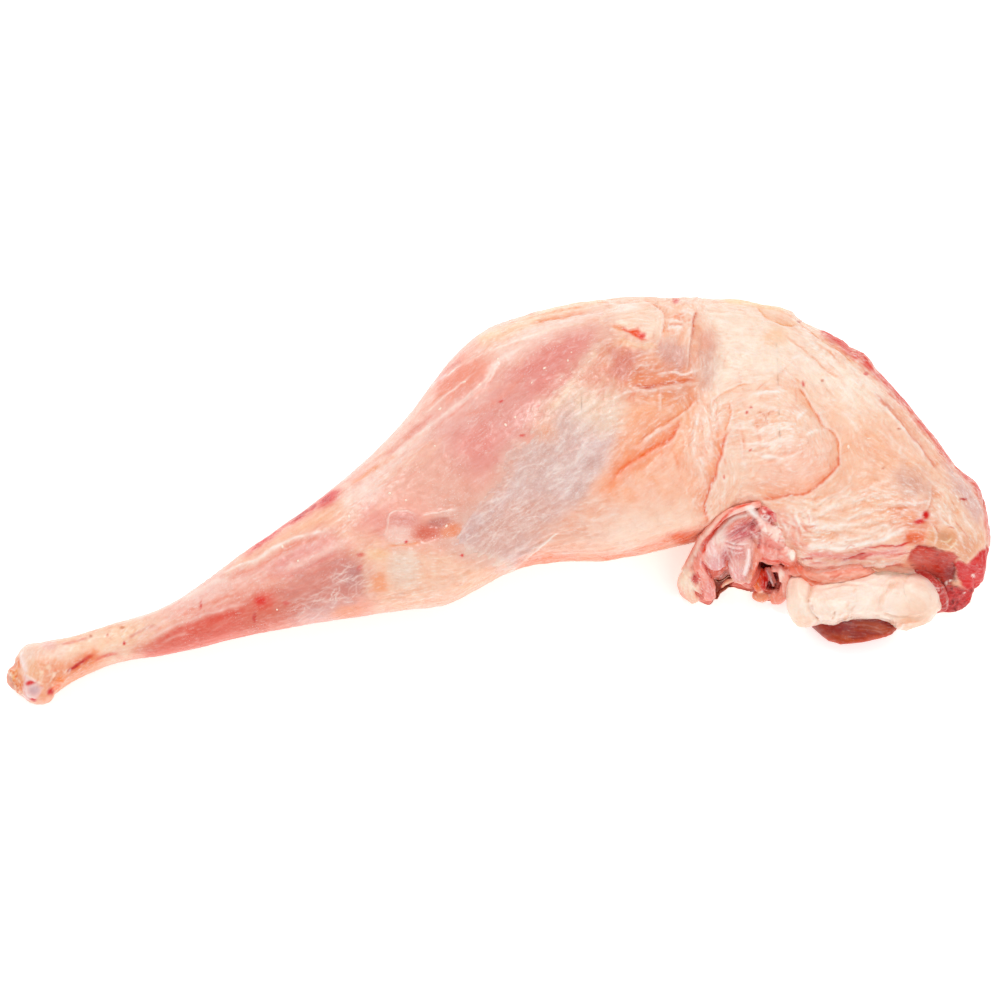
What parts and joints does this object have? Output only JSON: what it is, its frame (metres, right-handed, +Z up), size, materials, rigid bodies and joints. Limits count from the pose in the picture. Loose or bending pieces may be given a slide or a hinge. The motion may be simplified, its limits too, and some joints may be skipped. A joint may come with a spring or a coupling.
{
  "type": "raw kid goat hindquarter",
  "caption": "Raw kid goat hindquarter with shank, thigh, rump, short loin and folded flank, and the kidney in its fat, lying outer side up on its flat inner side.",
  "frame": {"origin": "on the resting plane, under the middle of the whole piece's box", "axes": "+X from the hock to the loin, +Y from the belly side to the back, +Z up, out of the outer side that shows"},
  "size_m": [0.491, 0.2046, 0.0794],
  "materials": {
    "flesh": "moist raw meat under a thin cover of fat and silverskin, pink to cream",
    "suet": "soft cream kidney fat, lightly moist",
    "kidney": "wet red-brown kidney"
  },
  "bodies": {
    "root": {"hindquarter": "flesh", "kidney_fat": "suet", "kidney": "kidney"}
  },
  "joints": []
}
